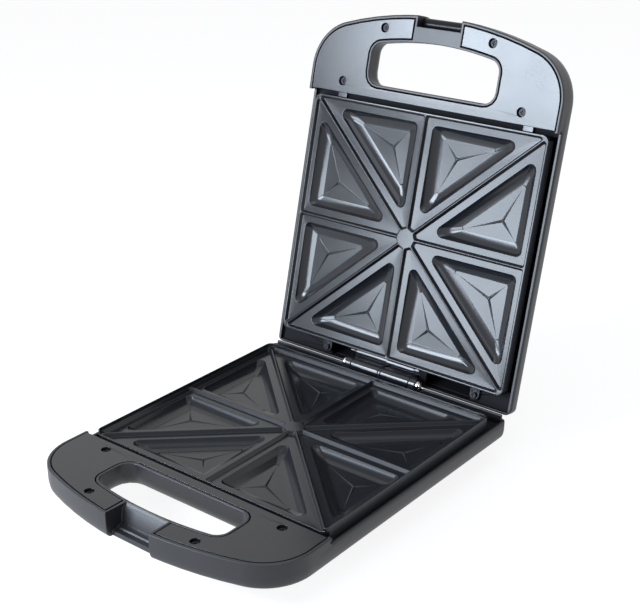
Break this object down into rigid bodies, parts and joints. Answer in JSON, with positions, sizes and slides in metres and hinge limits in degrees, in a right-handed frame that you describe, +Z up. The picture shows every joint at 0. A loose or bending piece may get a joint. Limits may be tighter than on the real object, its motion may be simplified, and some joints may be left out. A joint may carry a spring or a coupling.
{
  "type": "sandwich toaster",
  "caption": "Free-standing electric sandwich toaster, open: two hinged black halves with bowed loop handles, triangular-pocket cooking plates and a front latch.",
  "frame": {"origin": "middle of the open toaster's box in X and Y, at the bottom of the feet", "axes": "+X to the right, +Y to the rear, where the hinge is, +Z up; the handle of the base points to -Y"},
  "size_m": [0.2696, 0.4591, 0.368],
  "materials": {
    "casing": "satin moulded black",
    "cover": "semi-gloss moulded black",
    "coated_plate": "charcoal non-stick coating on die-cast aluminium",
    "element": "heat-tinted tube",
    "reflector": "folded sheet",
    "rubber": "matt",
    "ceramic_block": "off-white ceramic or thermoset",
    "thermostat": "pressed metal cap",
    "wire_sleeve": "silicone sleeving",
    "lamp_glass": "small neon lamps",
    "red_lens": "clear red",
    "green_lens": "clear green",
    "steel": "plated steel",
    "dark_steel": "blackened steel"
  },
  "bodies": {
    "base": {"lower_casing": "casing", "lower_handle_cover": "cover", "lower_handle_screws": "dark_steel", "lower_plate": "coated_plate", "lower_plate_screws": "dark_steel", "lower_element": "element", "lower_reflector": "reflector", "rubber_feet": "rubber", "cord_gland": "rubber", "terminal_block": "ceramic_block", "thermal_fuse": "ceramic_block", "lower_wiring": "wire_sleeve", "hinge_pin": "steel", "hinge_pin_caps": "steel"},
    "lid": {"hinge_leaf": "steel", "upper_casing": "casing", "upper_handle_cover": "cover", "upper_handle_screws": "dark_steel", "upper_plate": "coated_plate", "upper_plate_screws": "dark_steel", "upper_element": "element", "upper_reflector": "reflector", "thermostat": "thermostat", "pilot_lamps": "lamp_glass", "power_lens": "red_lens", "ready_lens": "green_lens", "upper_wiring": "wire_sleeve", "latch_pin": "steel"},
    "latch": {"latch": "casing"}
  },
  "joints": [
    {"name": "lid_hinge", "type": "hinge", "parent": "base", "child": "lid", "pos_m": [0, 0.10108, 0.04695], "axis": [1, 0, 0], "range_deg": [0, 103.6]},
    {"name": "latch_hinge", "type": "hinge", "parent": "lid", "child": "latch", "pos_m": [0, 0.19088, 0.35857], "axis": [1, 0, 0], "range_deg": [0, 192]}
  ]
}
